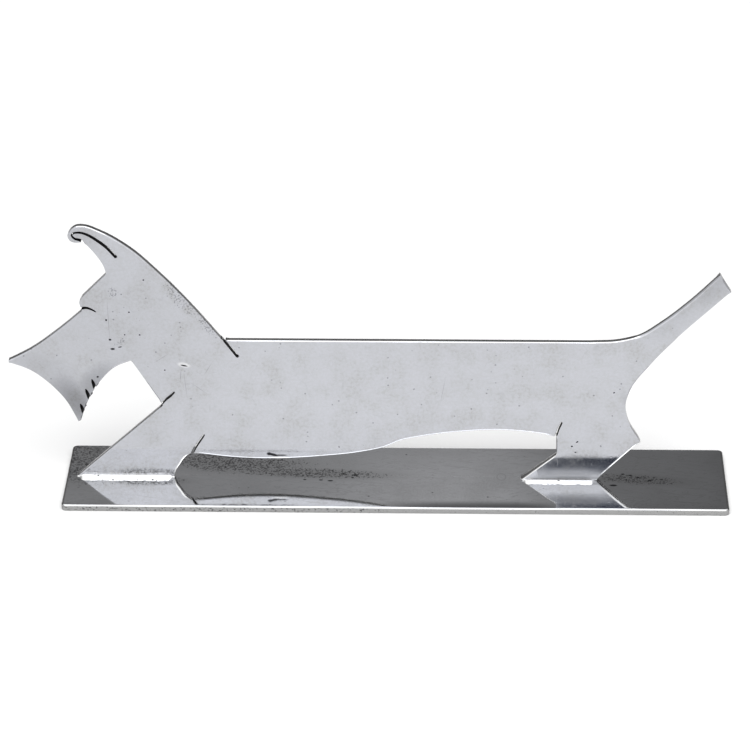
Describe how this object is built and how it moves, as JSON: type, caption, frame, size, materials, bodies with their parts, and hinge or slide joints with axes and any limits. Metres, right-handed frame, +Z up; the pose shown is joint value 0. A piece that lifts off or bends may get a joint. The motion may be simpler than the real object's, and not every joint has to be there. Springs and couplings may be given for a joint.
{
  "type": "knife rest",
  "caption": "Knife rest: a long terrier silhouette sawn from flat metal sheet, standing on edge and soldered to a narrow rectangular base plate; the knife lies across its back.",
  "frame": {"origin": "middle of the base plate's underside, where the knife rest stands on the table", "axes": "+X along the base plate from the terrier's nose to its tail, +Z up from the table, and +Y away from the viewer of the pictured face, so the terrier faces -X"},
  "size_m": [0.097, 0.0166, 0.0388],
  "materials": {
    "base_metal": "polished, with light tarnish and fine scratches",
    "terrier_metal": "polished by hand, softly worn, with fine scratches and pits",
    "solder_metal": "bright, smoothed solder"
  },
  "bodies": {
    "root": {"base_plate": "base_metal", "terrier_plate": "terrier_metal", "front_foot_solder": "solder_metal", "hind_foot_solder": "solder_metal"}
  },
  "joints": []
}
